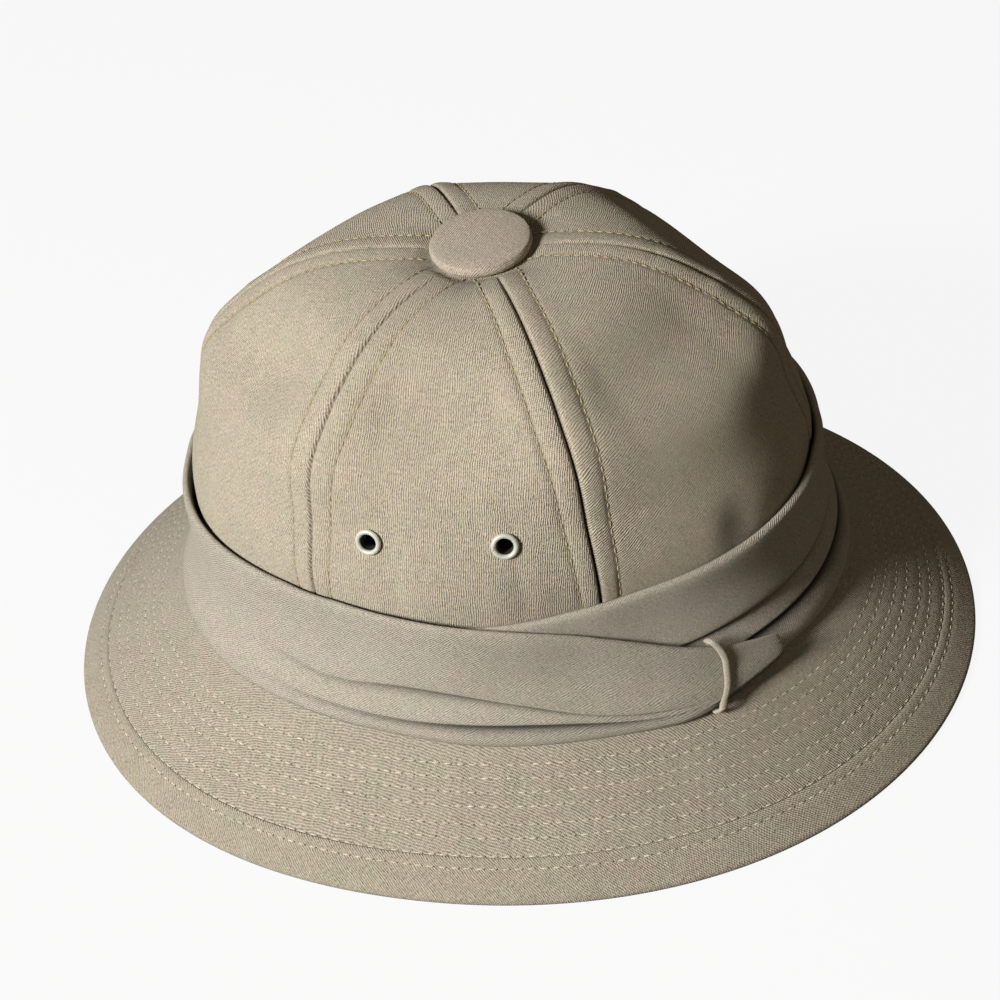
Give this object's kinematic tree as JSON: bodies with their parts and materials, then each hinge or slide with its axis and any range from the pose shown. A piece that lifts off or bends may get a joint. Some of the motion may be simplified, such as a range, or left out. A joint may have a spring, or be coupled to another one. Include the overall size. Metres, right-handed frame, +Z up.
{
  "type": "pith helmet",
  "caption": "Khaki cloth pith helmet with a panelled domed crown, top button, wrapped folded band and sloping stitched brim.",
  "frame": {"origin": "centre of the rim's resting plane, on the surface that the hat stands on", "axes": "+Z up through the crown, -Y towards the front of the hat, +X towards the wearer's left"},
  "size_m": [0.2702, 0.3216, 0.1603],
  "materials": {
    "crown_cloth": "matt khaki cotton twill",
    "brim_cloth": "matt khaki cotton twill, stitched",
    "band_cloth": "matt stone-beige cotton twill",
    "eyelet_metal": "satin off-white paint"
  },
  "bodies": {
    "root": {"crown_panel_left_front": "crown_cloth", "crown_panel_left": "crown_cloth", "crown_panel_left_back": "crown_cloth", "crown_panel_right_back": "crown_cloth", "crown_panel_right": "crown_cloth", "crown_panel_right_front": "crown_cloth", "top_button": "crown_cloth", "eyelet_left_1": "eyelet_metal", "eyelet_left_2": "eyelet_metal", "eyelet_right_1": "eyelet_metal", "eyelet_right_2": "eyelet_metal", "brim": "brim_cloth", "brim_binding": "brim_cloth", "hat_band": "band_cloth", "band_keeper": "band_cloth"}
  },
  "joints": []
}
